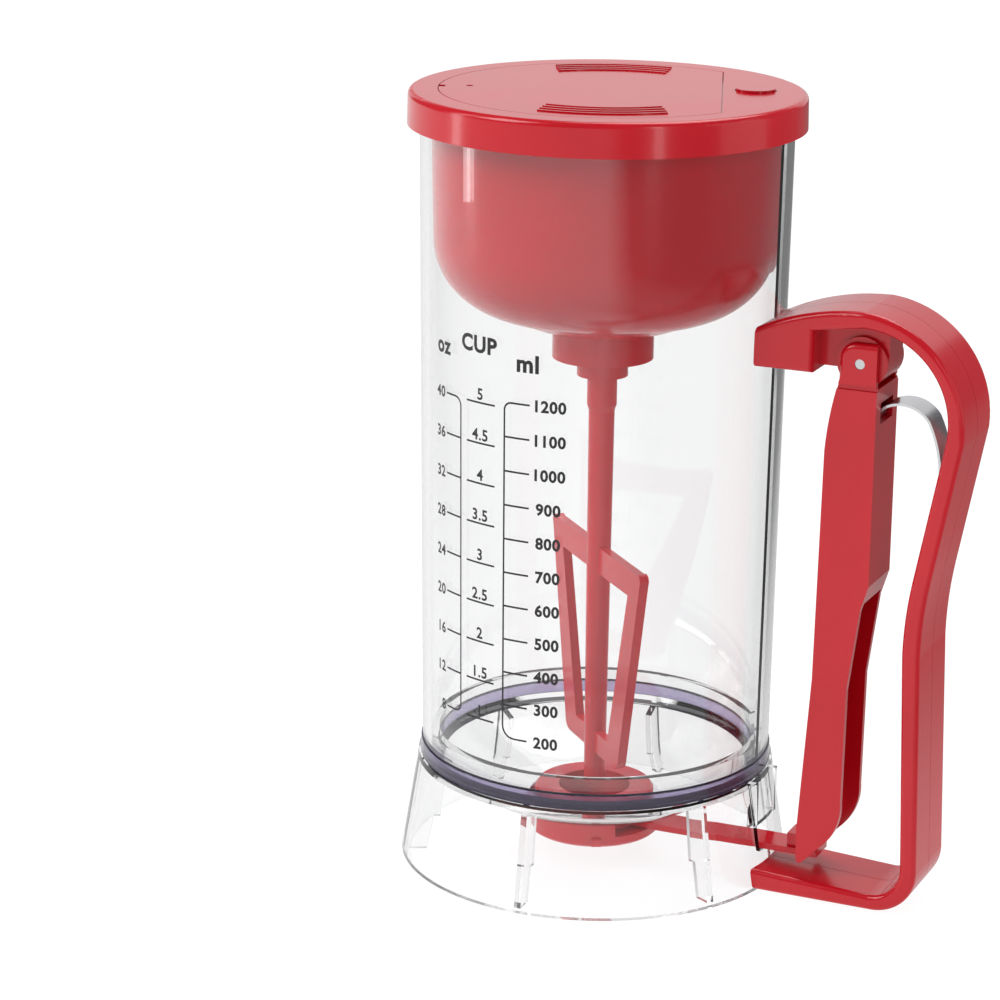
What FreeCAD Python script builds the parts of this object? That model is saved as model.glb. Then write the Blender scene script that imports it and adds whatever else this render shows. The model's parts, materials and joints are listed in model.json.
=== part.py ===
import FreeCAD, Part
import math
import os
import Sketcher
from FreeCAD import Placement, Rotation, Vector

# Pancake batter dispenser: a clear measuring tube on a clear flared base, a red lid with a
# battery stirrer, and a red handle whose trigger pulls a slide valve under the outlet.
# Millimetres. Z is up from the floor along the tube axis, X points to the handle.

doc = FreeCAD.newDocument("BatterDispenser")
sheet = doc.addObject("Spreadsheet::Sheet", "Sizes")

SIZES = [
    # Fits
    ("slide_fit", 0.3),
    ("seat_fit", 0.1),
    # Tube
    ("tube_rim_radius", 58.1),
    ("tube_foot_radius", 56.2),
    ("tube_wall", 2.8),
    ("tube_foot_level", 38.8),
    ("tube_rim_level", 247.0),
    # Base
    ("skirt_radius", 62.9),
    ("skirt_wall", 2.6),
    ("skirt_top_radius", 57.4),
    ("shoulder_level", 34.2),
    ("spigot_wall", 2.6),
    ("spigot_height", 9.3),
    ("funnel_wall", 3.0),
    ("floor_radius", 21.0),
    ("floor_level", 20.0),
    ("outlet_radius", 13.5),
    ("neck_level", 16.0),
    ("fin_thickness", 2.2),
    ("fin_depth", 6.5),
    ("fin_step_level", 12.0),
    ("slot_width", 15.0),
    ("slot_top_level", 19.5),
    ("tongue_width", 16.0),
    ("tongue_thickness", 2.0),
    ("tongue_level", 2.4),
    ("tongue_reach", 80.0),
    ("guide_rib_width", 2.0),
    # Valve
    ("seat_ring_radius", 19.4),
    ("seat_ring_height", 2.2),
    ("seat_wall", 1.8),
    ("slide_thickness", 2.0),
    ("slide_level", 11.3),
    ("valve_disc_radius", 15.7),
    ("valve_arm_width", 10.5),
    ("retainer_radius", 21.4),
    ("retainer_bore", 13.35),
    ("retainer_level", 7.7),
    ("tab_length", 1.8),
    ("tab_width", 3.0),
    ("link_reach", 75.5),
    ("link_level", 15.6),
    ("link_pin_radius", 1.4),
    ("yoke_front", 5.4),
    ("yoke_rear", 1.6),
    ("yoke_height", 6.4),
    ("yoke_width", 8.0),
    # Handle
    ("handle_width", 29.4),
    ("grip_thickness", 5.6),
    ("grip_top_reach", 122.4),
    ("grip_waist_inset", 10.4),
    ("grip_foot_inset", 8.2),
    ("grip_waist_level", 98.0),
    ("grip_top_level", 154.0),
    ("handle_top_level", 191.7),
    ("handle_bottom_level", 0.8),
    ("nose_level", 171.3),
    ("nose_reach", 74.2),
    ("nose_top_level", 183.2),
    ("lower_arm_thickness", 7.0),
    ("lower_arm_end", 4.8),
    ("seam_gap", 0.2),
    ("corner_radius", 14.0),
    ("edge_round", 1.6),
    ("web_width", 13.0),
    ("web_level", 172.4),
    ("lug_radius", 8.0),
    ("lug_width", 16.2),
    ("mount_boss_width", 8.0),
    ("mount_boss_height", 9.0),
    ("mount_boss_depth", 7.0),
    ("mount_head_width", 14.0),
    ("mount_head_depth", 3.0),
    # Trigger
    ("pivot_reach", 88.0),
    ("pivot_level", 174.7),
    ("pivot_pin_radius", 1.55),
    ("trigger_width", 21.0),
    ("trigger_wall", 2.0),
    ("trigger_round", 1.7),
    ("trigger_back", 93.8),
    ("panel_foot_level", 97.0),
    ("panel_top_level", 167.2),
    ("spring_width", 11.0),
    ("spring_thickness", 0.8),
    # Screws
    ("screw_radius", 0.9),
    ("screw_head_radius", 1.7),
    ("screw_head_height", 1.4),
    ("screw_length", 17.6),
    # Lid
    ("lid_rim_wall", 3.5),
    ("lid_top_level", 249.8),
    ("lid_rim_height", 10.6),
    ("lid_plate", 5.0),
    ("lid_edge_round", 1.7),
    ("cover_radius", 52.5),
    ("cover_chord", 35.3),
    ("cover_thickness", 1.8),
    ("cover_angle", 20.4),
    ("bay_radius", 46.0),
    ("bay_chord", 31.5),
    ("ridge_height", 0.4),
    ("button_radius", 6.15),
    ("button_inset", 16.4),
    ("button_angle", 24.9),
    ("button_rise", 0.8),
    ("button_travel", 1.2),
    ("switch_side", 7.0),
    ("switch_height", 8.0),
    # Mixer drive
    ("housing_radius", 54.4),
    ("housing_waist_radius", 53.6),
    ("housing_wall", 2.2),
    ("bowl_start_level", 206.0),
    ("bowl_floor_level", 174.5),
    ("nose_collar_radius", 16.0),
    ("nose_collar_level", 165.5),
    ("bush_collar_radius", 8.1),
    ("bush_collar_level", 159.6),
    ("cell_radius", 7.1),
    ("cell_length", 50.0),
    ("cell_pitch", 14.8),
    ("tray_wall", 1.5),
    ("contact_gap", 2.6),
    ("motor_radius", 12.0),
    ("motor_length", 30.0),
    ("motor_level", 194.6),
    ("bracket_thickness", 2.5),
    ("drive_radius", 1.5),
    ("coupling_radius", 3.5),
    # Stirrer
    ("hub_radius", 4.75),
    ("hub_level", 150.0),
    ("stirrer_radius", 4.15),
    ("stirrer_foot_radius", 3.5),
    ("stirrer_foot_level", 23.2),
    ("paddle_top_half", 36.6),
    ("paddle_foot_half", 22.0),
    ("paddle_top_level", 103.5),
    ("paddle_foot_level", 34.0),
    ("paddle_bar", 8.6),
    ("paddle_thickness", 3.0),
    ("paddle_angle", 135.0),
]


class Size:
    """A length that carries its number and the sheet formula that gives it."""

    def __init__(self, number, formula):
        self.number = float(number)
        self.formula = formula

    def __float__(self):
        return self.number

    def __add__(self, other):
        other = as_size(other)
        return Size(self.number + other.number, "(%s + %s)" % (self.formula, other.formula))

    def __radd__(self, other):
        return as_size(other) + self

    def __sub__(self, other):
        other = as_size(other)
        return Size(self.number - other.number, "(%s - %s)" % (self.formula, other.formula))

    def __rsub__(self, other):
        return as_size(other) - self

    def __mul__(self, other):
        other = as_size(other)
        return Size(self.number * other.number, "(%s * %s)" % (self.formula, other.formula))

    def __rmul__(self, other):
        return as_size(other) * self

    def __truediv__(self, other):
        other = as_size(other)
        return Size(self.number / other.number, "(%s / %s)" % (self.formula, other.formula))

    def __neg__(self):
        return Size(-self.number, "(0 - %s)" % self.formula)


def as_size(value):
    if isinstance(value, Size):
        return value
    return Size(value, "%.6f" % value if value >= 0 else "(0 - %.6f)" % -value)


class Sheet:
    """Reads the driving sizes by name."""


s = Sheet()
for row, (name, number) in enumerate(SIZES, start=1):
    sheet.set("A%d" % row, name)
    sheet.set("B%d" % row, str(number))
    sheet.setAlias("B%d" % row, name)
doc.recompute()
for name, number in SIZES:
    setattr(s, name, Size(sheet.get(name), "Sizes.%s" % name))

nodes = []


def node(obj, name):
    """Names a finished sub-part and keeps it for the export."""
    obj.Label = name
    nodes.append(obj)
    return obj


def bind(obj, prop, value):
    value = as_size(value)
    obj.setExpression(prop, value.formula)


def place(obj, x=0, y=0, z=0):
    """Puts an object's base point at sizes taken from the sheet."""
    for axis, value in zip("xyz", (x, y, z)):
        bind(obj, "Placement.Base.%s" % axis, value)
    return obj


def origin_plane(body, role):
    return [o for o in body.Origin.OriginFeatures if o.Role == role][0]


def outline(body, name, plane, points):
    """Closed sketch through points; a point with four numbers starts an arc through its last two."""
    sketch = body.newObject("Sketcher::SketchObject", name)
    sketch.AttachmentSupport = [(origin_plane(body, plane), "")]
    sketch.MapMode = "FlatFace"
    count = len(points)
    for i, point in enumerate(points):
        following = points[(i + 1) % count]
        start = Vector(float(point[0]), float(point[1]), 0)
        end = Vector(float(following[0]), float(following[1]), 0)
        if len(point) == 4:
            middle = Vector(float(point[2]), float(point[3]), 0)
            arc = Part.Arc(start, middle, end)
            sketch.addGeometry(arc, False)
        else:
            sketch.addGeometry(Part.LineSegment(start, end), False)
    ends = []
    for i, point in enumerate(points):
        start = Vector(float(point[0]), float(point[1]), 0)
        first = sketch.getPoint(i, 1)
        ends.append((1, 2) if (first - start).Length < 1e-6 else (2, 1))
    for i in range(count):
        j = (i + 1) % count
        sketch.addConstraint(Sketcher.Constraint("Coincident", i, ends[i][1], j, ends[j][0]))
    for i, point in enumerate(points):
        for kind, value in (("DistanceX", point[0]), ("DistanceY", point[1])):
            index = sketch.addConstraint(
                Sketcher.Constraint(kind, -1, 1, i, ends[i][0], float(value)))
            sketch.setExpression("Constraints[%d]" % index, as_size(value).formula)
    return sketch


def new_body(name):
    return doc.addObject("PartDesign::Body", name)


def turned(name, points):
    """Body of revolution about Z from a half section in radius and height."""
    body = new_body(name)
    section = outline(body, name + "_section", "XZ_Plane", points)
    turn = body.newObject("PartDesign::Revolution", name + "_turn")
    turn.Profile = section
    turn.ReferenceAxis = (section, ["V_Axis"])
    turn.Angle = 360
    body.Tip = turn
    return body


def plate(name, plane, points, thickness, both_sides=True, back=False):
    """Flat body padded from an outline, about its plane or to one side of it."""
    body = new_body(name)
    shape = outline(body, name + "_outline", plane, points)
    pad = body.newObject("PartDesign::Pad", name + "_pad")
    pad.Profile = shape
    bind(pad, "Length", thickness)
    if both_sides:
        pad.SideType = "Symmetric"
    pad.Reversed = back
    body.Tip = pad
    return body


def cylinder(name, radius, height, x=0, y=0, z=0, along="z"):
    obj = doc.addObject("Part::Cylinder", name)
    bind(obj, "Radius", radius)
    bind(obj, "Height", height)
    turns = {"z": Rotation(), "y": Rotation(Vector(1, 0, 0), -90), "x": Rotation(Vector(0, 1, 0), 90)}
    obj.Placement = Placement(Vector(), turns[along])
    return place(obj, x, y, z)


def box(name, length, width, height, x=0, y=0, z=0):
    obj = doc.addObject("Part::Box", name)
    bind(obj, "Length", length)
    bind(obj, "Width", width)
    bind(obj, "Height", height)
    return place(obj, x, y, z)


def cut(name, base, tool):
    obj = doc.addObject("Part::Cut", name)
    obj.Base = base
    obj.Tool = tool
    return obj


def fuse(name, *shapes):
    obj = doc.addObject("Part::MultiFuse", name)
    obj.Shapes = list(shapes)
    obj.Refine = True
    return obj


def common(name, *shapes):
    obj = doc.addObject("Part::MultiCommon", name)
    obj.Shapes = list(shapes)
    return obj


def group(name, *shapes):
    obj = doc.addObject("Part::Compound", name)
    obj.Links = list(shapes)
    return obj


def turn_about_z(obj, angle):
    """Turns a finished piece about the tube axis by a sheet angle in degrees."""
    obj.Placement = Placement(Vector(), Rotation(Vector(0, 0, 1), float(angle)))
    bind(obj, "Placement.Rotation.Angle", angle)
    return obj


# Tube with its handle boss
tube_inner_foot = s.tube_foot_radius - s.tube_wall
tube = turned("tube_shell", [
    (tube_inner_foot, s.tube_foot_level),
    (s.tube_foot_radius, s.tube_foot_level),
    (s.tube_rim_radius, s.tube_rim_level),
    (s.tube_rim_radius - s.tube_wall, s.tube_rim_level),
])
boss_level = s.nose_level + 1.6
boss_start = s.tube_foot_radius - 1.0
boss = box("handle_boss", s.mount_boss_depth, s.mount_boss_width, s.mount_boss_height,
           boss_start, -s.mount_boss_width / 2, boss_level)
boss_head_start = boss_start + s.mount_boss_depth - s.mount_head_depth
boss_head = box("handle_boss_head", s.mount_head_depth, s.mount_head_width, s.mount_boss_height,
                boss_head_start, -s.mount_head_width / 2, boss_level)
node(fuse("tube_with_boss", tube, boss, boss_head), "container_tube")

# Base: skirt, shoulder, spigot, funnel and fins in one moulding
spigot_radius = tube_inner_foot - s.seat_fit
spigot_inner = spigot_radius - s.spigot_wall
spigot_top = s.shoulder_level + s.spigot_height
shoulder_inner = s.skirt_top_radius - s.skirt_wall
skirt_inner = s.skirt_radius - s.skirt_wall
funnel_top = s.shoulder_level + 1.6
funnel_sag = 2.2
base_shell = turned("base_shell", [
    (s.skirt_radius, 0),
    (s.skirt_top_radius, s.shoulder_level),
    (spigot_radius, s.shoulder_level),
    (spigot_radius, spigot_top),
    (spigot_inner, spigot_top),
    (spigot_inner, funnel_top, (spigot_inner + s.floor_radius) / 2 + 2,
     (funnel_top + s.floor_level) / 2 - funnel_sag),
    (s.floor_radius, s.floor_level),
    (s.outlet_radius, s.floor_level),
    (s.outlet_radius, s.neck_level),
    (s.floor_radius + 1, s.neck_level, (spigot_inner + s.floor_radius) / 2 + 3,
     (funnel_top + s.floor_level) / 2 - funnel_sag - s.funnel_wall),
    (spigot_inner + 0.5, s.shoulder_level - s.funnel_wall),
    (shoulder_inner + 0.4, s.shoulder_level - s.funnel_wall),
    (skirt_inner, 0),
])
fin_top = s.shoulder_level - 2
fin = new_body("fin_set")
fin_face = outline(fin, "fin_outline", "XZ_Plane", [
    (skirt_inner + 1, 0.8),
    (shoulder_inner + 1.4, fin_top),
    (shoulder_inner - s.fin_depth, fin_top - 3.5),
    (shoulder_inner - s.fin_depth + 2, s.fin_step_level),
    (shoulder_inner - s.fin_depth + 4, s.fin_step_level),
    (skirt_inner - s.fin_depth + 0.8, 0.8),
])
fin_face.AttachmentOffset = Placement(Vector(), Rotation(Vector(0, 1, 0), 30))
fin_pad = fin.newObject("PartDesign::Pad", "fin_pad")
fin_pad.Profile = fin_face
bind(fin_pad, "Length", s.fin_thickness)
fin_pad.SideType = "Symmetric"
fin.Tip = fin_pad
fins = []
for turn_number in range(6):
    copy = doc.addObject("Part::Feature", "fin_%d" % turn_number)
    fins.append(copy)
slot_floor = s.slide_level - s.slide_fit
slot = box("slide_slot", 14, s.slot_width, s.slot_top_level - slot_floor,
           s.skirt_top_radius - 6, -s.slot_width / 2, slot_floor)
tongue = box("tongue", s.tongue_reach - s.skirt_radius + 2, s.tongue_width, s.tongue_thickness,
             s.skirt_radius - 2, -s.tongue_width / 2, s.tongue_level)
guide_ribs = [
    box("slot_rib_%d" % i, 4.2, s.guide_rib_width, s.shoulder_level - s.slot_top_level,
        s.skirt_top_radius - 2, side * s.slot_width / 2 - s.guide_rib_width / 2 + side,
        s.slot_top_level)
    for i, side in enumerate((-1, 1))]
doc.recompute()
for turn_number, copy in enumerate(fins):
    copy.Shape = fin.Shape.copy()
    copy.Placement = Placement(Vector(), Rotation(Vector(0, 0, 1), 60 * turn_number))
base_solid = fuse("base_solid", base_shell, tongue, *(guide_ribs + fins))
node(cut("base_with_slot", base_solid, slot), "base")

# Seal band between the tube foot and the base shoulder
node(turned("seal_band", [
    (spigot_radius + s.seat_fit, s.shoulder_level),
    (s.skirt_top_radius - 0.6, s.shoulder_level),
    (s.tube_foot_radius + 0.4, s.tube_foot_level),
    (spigot_radius + s.seat_fit, s.tube_foot_level),
]), "joint_seal")

# Valve seat through the outlet, slide, and retaining ring below
seat_outer = s.outlet_radius - s.seat_fit
seat_inner = seat_outer - s.seat_wall
slide_top = s.slide_level + s.slide_thickness
node(turned("valve_seat", [
    (seat_inner, slide_top + s.seat_fit),
    (seat_outer, slide_top + s.seat_fit),
    (seat_outer, s.floor_level),
    (s.seat_ring_radius, s.floor_level),
    (s.seat_ring_radius, s.floor_level + s.seat_ring_height - 0.8),
    (s.seat_ring_radius - 0.8, s.floor_level + s.seat_ring_height),
    (seat_inner, s.floor_level + s.seat_ring_height),
]), "outlet_seat")

retainer_top = s.slide_level - s.slide_fit
ring = turned("retainer_ring", [
    (s.retainer_bore, s.retainer_level),
    (s.retainer_radius - 0.8, s.retainer_level),
    (s.retainer_radius, s.retainer_level + 0.8),
    (s.retainer_radius, s.neck_level),
    (s.valve_disc_radius + s.slide_fit, s.neck_level),
    (s.valve_disc_radius + s.slide_fit, retainer_top),
    (s.retainer_bore, retainer_top),
])
channel_width = 2 * (s.valve_disc_radius + s.slide_fit)
channel = box("valve_channel", s.retainer_radius + 2, channel_width, s.neck_level - retainer_top + 1,
              0, -channel_width / 2, retainer_top)
tabs = []
for i, angle in enumerate((65, 180, 295)):
    tab = box("retainer_tab_%d" % i, s.tab_length + 1, s.tab_width, 2.2,
              s.retainer_radius - 1, -s.tab_width / 2, s.retainer_level + 1)
    tabs.append(turn_about_z(group("retainer_tab_turned_%d" % i, tab), angle))
node(fuse("retainer", cut("retainer_open", ring, channel), *tabs), "outlet_ring")

yoke_play = 0.22
yoke_opening = 2 * (s.link_pin_radius + yoke_play)
yoke_start = s.link_reach - yoke_opening / 2 - s.yoke_front
yoke_length = s.yoke_front + yoke_opening + s.yoke_rear
valve_disc = cylinder("valve_disc", s.valve_disc_radius, s.slide_thickness, 0, 0, s.slide_level)
valve_arm = box("valve_arm", yoke_start + yoke_length, s.valve_arm_width, s.slide_thickness,
                0, -s.valve_arm_width / 2, s.slide_level)
yoke_block = box("yoke_block", yoke_length, s.yoke_width, s.yoke_height,
                 yoke_start, -s.yoke_width / 2, s.slide_level)
yoke_gap = box("yoke_gap", yoke_opening, s.valve_arm_width + 2, s.yoke_height,
               yoke_start + s.yoke_front, -s.valve_arm_width / 2 - 1, slide_top + 0.1)
node(cut("slide_with_yoke", fuse("slide_solid", valve_disc, valve_arm, yoke_block), yoke_gap),
     "valve_slide")

# Handle: two mirrored halves that meet on the middle plane
grip_waist_reach = s.grip_top_reach - s.grip_waist_inset
grip_foot_reach = s.grip_top_reach - s.grip_foot_inset
inner_top = s.grip_top_reach - s.grip_thickness
arc_centre_x = s.grip_top_reach - 32.4
arc_centre_z = s.handle_top_level - 32.2
diagonal = math.sqrt(0.5)
arm_top_start = s.handle_bottom_level + s.lower_arm_thickness
arm_top_end = s.handle_bottom_level + s.lower_arm_end
foot_inner = grip_foot_reach - s.grip_thickness + 0.4
corner_x = grip_foot_reach - s.corner_radius
corner_z = s.handle_bottom_level + s.corner_radius
inner_radius = s.corner_radius - 4
inner_corner_x = foot_inner - inner_radius
inner_corner_z = arm_top_end + inner_radius
roof_inner_z = s.handle_top_level - 5.0
roof_radius = 26.2
nose_inside = s.tube_foot_radius - 3
waist_inner = grip_waist_reach - s.grip_thickness
grip_slope = (inner_top - waist_inner) / (s.grip_top_level - s.grip_waist_level)
bend_length = as_size(12)
bend_shift = grip_slope * bend_length
bend_sag = bend_shift / 4
handle_points = [
    (nose_inside, s.nose_level),
    (s.nose_reach, s.nose_level),
    (s.nose_reach, s.handle_top_level - 7.4, s.nose_reach + 10, roof_inner_z - 0.8),
    (arc_centre_x, roof_inner_z,
     arc_centre_x + roof_radius * diagonal, roof_inner_z - roof_radius * (1 - diagonal)),
    (inner_top, s.grip_top_level),
    (waist_inner + bend_shift, s.grip_waist_level + bend_length, waist_inner + bend_sag, s.grip_waist_level),
    (waist_inner, s.grip_waist_level - bend_length),
    (foot_inner, inner_corner_z,
     inner_corner_x + inner_radius * diagonal, inner_corner_z - inner_radius * diagonal),
    (inner_corner_x, arm_top_end),
    (nose_inside, arm_top_start),
    (nose_inside, s.handle_bottom_level),
    (corner_x, s.handle_bottom_level,
     corner_x + s.corner_radius * diagonal, corner_z - s.corner_radius * diagonal),
    (grip_foot_reach, corner_z),
    (grip_waist_reach, s.grip_waist_level - bend_length, grip_waist_reach + bend_sag,
     s.grip_waist_level),
    (grip_waist_reach + bend_shift, s.grip_waist_level + bend_length),
    (s.grip_top_reach, s.grip_top_level,
     arc_centre_x + 32.0 * diagonal - 0.6, arc_centre_z + 32.0 * diagonal - 0.4),
    (arc_centre_x, s.handle_top_level, arc_centre_x - 18, s.handle_top_level - 2.2),
    (nose_inside, s.nose_top_level - 1.2),
]
web_points = [
    (s.nose_reach - 1, s.web_level),
    (s.pivot_reach, s.web_level),
    (s.pivot_reach + s.lug_radius, s.pivot_level),
    (s.pivot_reach + s.lug_radius, roof_inner_z + 1),
    (s.nose_reach - 1, roof_inner_z - 1),
]
tube_clear = turned("tube_room", [
    (0, -1),
    (s.skirt_radius + s.seat_fit, -1),
    (s.skirt_radius + s.seat_fit, 0),
    (s.skirt_top_radius + s.seat_fit, s.shoulder_level),
    (s.tube_foot_radius + s.seat_fit, s.tube_foot_level),
    (s.tube_rim_radius + s.seat_fit, s.tube_rim_level),
    (0, s.tube_rim_level),
])
screw_places = [
    (s.tube_foot_radius + 12.4, s.nose_level + 4.6),
    (s.pivot_reach - 6.5, s.handle_top_level - 9.5),
    (grip_foot_reach - 11.2, s.handle_bottom_level + 2.7),
]
fit = s.seat_fit
boss_room = box("boss_room", s.mount_boss_depth + fit, s.mount_boss_width + 2 * fit,
                s.mount_boss_height + 2 * fit, boss_start, -s.mount_boss_width / 2 - fit,
                boss_level - fit)
boss_head_room = box("boss_head_room", s.mount_head_depth + 2 * fit, s.mount_head_width + 2 * fit,
                     s.mount_boss_height + 2 * fit, boss_head_start - fit,
                     -s.mount_head_width / 2 - fit, boss_level - fit)
tongue_room = box("tongue_room", s.tongue_reach - s.skirt_radius + 6, s.tongue_width + 2 * fit,
                  s.tongue_thickness + 2 * fit, s.skirt_radius - 6 + fit,
                  -s.tongue_width / 2 - fit, s.tongue_level - fit)
pin_room = cylinder("pivot_hole", s.pivot_pin_radius, s.lug_width + 4,
                    s.pivot_reach, -s.lug_width / 2 - 2, s.pivot_level, along="y")
half_width = s.handle_width / 2
screw_back = half_width - s.screw_head_height
screw_rooms = []
screws = []
for i, (x, z) in enumerate(screw_places):
    screw_rooms.append(cylinder("screw_room_%d" % i, s.screw_head_radius + fit, s.screw_head_height + 2,
                                x, screw_back, z, along="y"))
    screw_rooms.append(cylinder("screw_bore_%d" % i, s.screw_radius, s.screw_length + fit,
                                x, screw_back - s.screw_length - fit, z, along="y"))
    shank = cylinder("screw_shank_%d" % i, s.screw_radius, s.screw_length + 0.2,
                     x, screw_back - s.screw_length, z, along="y")
    head = cylinder("screw_head_%d" % i, s.screw_head_radius, s.screw_head_height - 0.2,
                    x, screw_back, z, along="y")
    screws.append(fuse("screw_%d" % i, shank, head))
rooms = [tube_clear, fuse("boss_rooms", boss_room, boss_head_room), tongue_room, pin_room]
strap = plate("handle_strap", "XZ_Plane", handle_points, half_width, both_sides=False)
doc.recompute()
strap_pad = strap.Tip
rim = []
for number, edge in enumerate(strap_pad.Shape.Edges, start=1):
    limits = edge.BoundBox
    if abs(limits.YMin + float(half_width)) < 0.01 and abs(limits.YMax + float(half_width)) < 0.01:
        rim.append("Edge%d" % number)
rounding = strap.newObject("PartDesign::Fillet", "strap_round")
rounding.Base = (strap_pad, rim)
bind(rounding, "Radius", s.edge_round)
strap.Tip = rounding
web = plate("handle_web", "XZ_Plane", web_points, s.web_width / 2, both_sides=False)
lug = cylinder("handle_lug", s.lug_radius, s.lug_width / 2, s.pivot_reach, -s.lug_width / 2,
               s.pivot_level, along="y")
seam = box("seam_slab", 90, s.seam_gap / 2 + 1, s.handle_top_level + 10, 45, -s.seam_gap / 2, -2)

half = fuse("handle_half", cut("strap_seamed", strap, seam), web, lug)
for i, room in enumerate(rooms):
    half = cut("handle_half_cut_%d" % i, half, room)
mirrored = doc.addObject("Part::Mirroring", "handle_half_mirrored")
mirrored.Source = half
mirrored.Normal = Vector(0, 1, 0)
for name, solid in (("handle_near_half", half), ("handle_far_half", mirrored)):
    for i, room in enumerate(screw_rooms):
        solid = cut("%s_screw_cut_%d" % (name, i), solid, room)
    node(solid, name)
node(group("handle_screw_group", *screws), "handle_screws")
node(cylinder("pivot_pin_body", s.pivot_pin_radius, s.trigger_width - 0.6, s.pivot_reach,
              -(s.trigger_width - 0.6) / 2, s.pivot_level, along="y"), "pivot_pin")

# Trigger: a channel that opens towards the grip, with two ears round the handle lug
ear_front = s.pivot_reach - 6.7
tip_level = s.link_level - 4.9
trigger_points = [
    (s.link_reach - 2.0, s.link_level + 5.4),
    (s.link_reach - 1.8, tip_level + 1.2, s.link_reach - 1.2, tip_level + 0.2),
    (s.link_reach, tip_level + 0.3),
    (s.link_reach + 7.4, tip_level + 8, s.link_reach + 10.4, tip_level + 12.4),
    (s.link_reach + 12.2, tip_level + 22),
    (s.link_reach + 12.6, tip_level + 60),
    (s.trigger_back - 2.4, s.panel_foot_level),
    (s.trigger_back, s.panel_foot_level + 8),
    (s.trigger_back, s.panel_top_level),
    (s.trigger_back - 0.4, s.panel_top_level + 0.5),
    (s.trigger_back - 0.4, s.pivot_level + 6.3),
    (s.pivot_reach - 1.5, s.pivot_level + 6.3, s.pivot_reach - 5.0, s.pivot_level + 5.0),
    (s.pivot_reach - 6.5, s.pivot_level + 1.6),
    (ear_front, s.pivot_level - 7, s.pivot_reach - 8.9, s.pivot_level - 17.5),
    (s.pivot_reach - 10.1, s.pivot_level - 28),
    (s.pivot_reach - 11.2, s.pivot_level - 102),
]
lug_room = s.lug_radius + 1.2
inner_points = [
    (s.link_reach - 12, tip_level - 4),
    (s.trigger_back + 6, tip_level - 4),
    (s.trigger_back + 6, s.panel_foot_level),
    (s.trigger_back - s.trigger_wall, s.panel_foot_level + 2),
    (s.trigger_back - s.trigger_wall, s.pivot_level + 12),
    (s.pivot_reach - 14, s.pivot_level + 12),
    (s.pivot_reach - 14, s.pivot_level - lug_room),
    (s.pivot_reach - 4.8, s.pivot_level - lug_room),
    (s.pivot_reach - 7.8, s.pivot_level - 28),
    (s.pivot_reach - 9.0, s.pivot_level - 102),
    (s.link_reach + 0.6, s.link_level + 9),
    (s.link_reach - 12, s.link_level + 9),
]
trigger = plate("trigger_shape", "XZ_Plane", trigger_points, s.trigger_width)
doc.recompute()
trigger_pad = trigger.Tip
front = []
for number, edge in enumerate(trigger_pad.Shape.Edges, start=1):
    limits = edge.BoundBox
    on_side = limits.YMax - limits.YMin < 0.01
    faces_front = limits.XMax < float(s.pivot_reach) - 1 and limits.ZMin > float(s.pivot_level) - 8
    if on_side and faces_front:
        front.append("Edge%d" % number)
front_round = trigger.newObject("PartDesign::Fillet", "trigger_front_round")
front_round.Base = (trigger_pad, front)
bind(front_round, "Radius", s.trigger_round)
trigger.Tip = front_round
hollow = plate("trigger_hollow", "XZ_Plane", inner_points, s.trigger_width - 2 * s.trigger_wall)
channel_inner = s.trigger_width - 2 * s.trigger_wall
panel_gap = box("panel_gap", 12, channel_inner, 30, s.trigger_back - s.trigger_wall - 1,
                -channel_inner / 2, s.panel_top_level)
spring_slot = box("spring_slot", 8, s.spring_width + 1, 6.6, s.trigger_back - 4,
                  -s.spring_width / 2 - 0.5, s.pivot_level - 19.0)
link_pin_length = channel_inner + s.trigger_wall
link_hole = cylinder("link_hole", s.link_pin_radius, link_pin_length, s.link_reach,
                     -link_pin_length / 2, s.link_level, along="y")
trigger_pin_hole = cylinder("trigger_pin_hole", s.pivot_pin_radius + 0.05, s.trigger_width + 2,
                            s.pivot_reach, -s.trigger_width / 2 - 1, s.pivot_level, along="y")
step_depth = 0.7
steps = [
    box("ear_step_%d" % i, 16, step_depth + 1, 1.6, ear_front - 2,
        side * (s.trigger_width / 2) - (step_depth if side > 0 else 1), s.pivot_level - 8.2)
    for i, side in enumerate((-1, 1))]
trigger_rooms = fuse("trigger_rooms", hollow, panel_gap, spring_slot, link_hole, trigger_pin_hole, *steps)
node(cut("trigger_cut", trigger, trigger_rooms), "trigger")
node(cylinder("link_pin_body", s.link_pin_radius, link_pin_length, s.link_reach,
              -link_pin_length / 2, s.link_level, along="y"), "link_pin")

# Leaf spring: one steel strip from the trigger panel over to the grip
spring_foot_level = s.pivot_level - 41
spring_foot = inner_top - grip_slope * (s.grip_top_level - spring_foot_level)
panel_face = s.trigger_back - s.trigger_wall
spring_line = [
    (panel_face - 1.12, s.pivot_level - 20.4),
    (panel_face + 0.2, s.pivot_level - 16.4),
    (panel_face + 3.6, s.pivot_level - 13.0),
    ((panel_face + inner_top) / 2 - 3.7, s.pivot_level - 11.9),
    (inner_top - 7.4, s.pivot_level - 16.6),
    (inner_top - 3.9, s.pivot_level - 27),
    (spring_foot, spring_foot_level),
]
route = [Vector(float(x), 0, float(z)) for x, z in spring_line]
strip_edges = [Part.Arc(route[i], route[i + 1], route[i + 2]).toShape() for i in (0, 2, 4)]
strip_path = Part.Wire(strip_edges)
half_strip = float(s.spring_width) / 2
strip_faces = [edge.extrude(Vector(0, 2 * half_strip, 0)) for edge in strip_edges]
strip = Part.makeShell(strip_faces)
strip.translate(Vector(0, -half_strip, 0))
leaf = doc.addObject("Part::Feature", "leaf_spring_strip")
leaf.Shape = strip.makeOffsetShape(float(s.spring_thickness), 0.01, fill=True)
node(leaf, "leaf_spring")

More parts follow.
